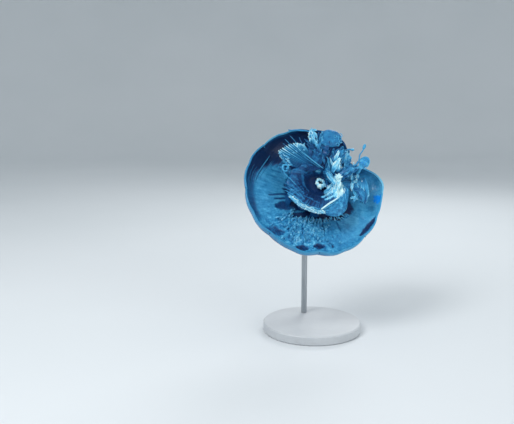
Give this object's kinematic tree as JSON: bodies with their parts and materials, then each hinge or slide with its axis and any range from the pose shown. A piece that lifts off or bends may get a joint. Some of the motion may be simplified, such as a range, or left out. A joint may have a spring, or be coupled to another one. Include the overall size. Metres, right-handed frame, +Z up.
{
  "type": "jellyfish",
  "caption": "Life-size model of a leaning root-mouthed jellyfish with a shallow bell and frilled mouth arms, on a round base and rod.",
  "frame": {"origin": "middle of the stand base's underside", "axes": "+Z up, out of the table; -Y the way the front of the model faces; +X to the right as seen from the front"},
  "size_m": [0.2384, 0.17, 0.352],
  "materials": {
    "jelly": "wet, see-through blue jelly",
    "frilled_flesh": "wet, milky cyan frills",
    "base_paint": "satin",
    "rod_steel": "satin"
  },
  "bodies": {
    "root": {"bell_crown": "jelly", "bell_lobe_1": "jelly", "bell_lobe_2": "jelly", "bell_lobe_3": "jelly", "bell_lobe_4": "jelly", "bell_lobe_5": "jelly", "bell_lobe_6": "jelly", "bell_lobe_7": "jelly", "bell_lobe_8": "jelly", "rhopalium_1": "frilled_flesh", "rhopalium_2": "frilled_flesh", "rhopalium_3": "frilled_flesh", "rhopalium_4": "frilled_flesh", "rhopalium_5": "frilled_flesh", "rhopalium_6": "frilled_flesh", "rhopalium_7": "frilled_flesh", "rhopalium_8": "frilled_flesh", "arm_disc": "frilled_flesh", "mouth_ring": "frilled_flesh", "pillar_1": "jelly", "pillar_2": "jelly", "pillar_3": "jelly", "pillar_4": "jelly", "mouth_arm_1": "frilled_flesh", "mouth_arm_2": "frilled_flesh", "mouth_arm_3": "frilled_flesh", "mouth_arm_4": "frilled_flesh", "mouth_arm_5": "frilled_flesh", "mouth_arm_6": "frilled_flesh", "mouth_arm_7": "frilled_flesh", "mouth_arm_8": "frilled_flesh", "hood": "frilled_flesh", "paddle": "frilled_flesh", "filament_1": "frilled_flesh", "filament_2": "frilled_flesh", "filament_3": "frilled_flesh", "filament_4": "frilled_flesh", "stand_base": "base_paint", "stand_rod": "rod_steel", "stand_pad": "rod_steel"}
  },
  "joints": []
}
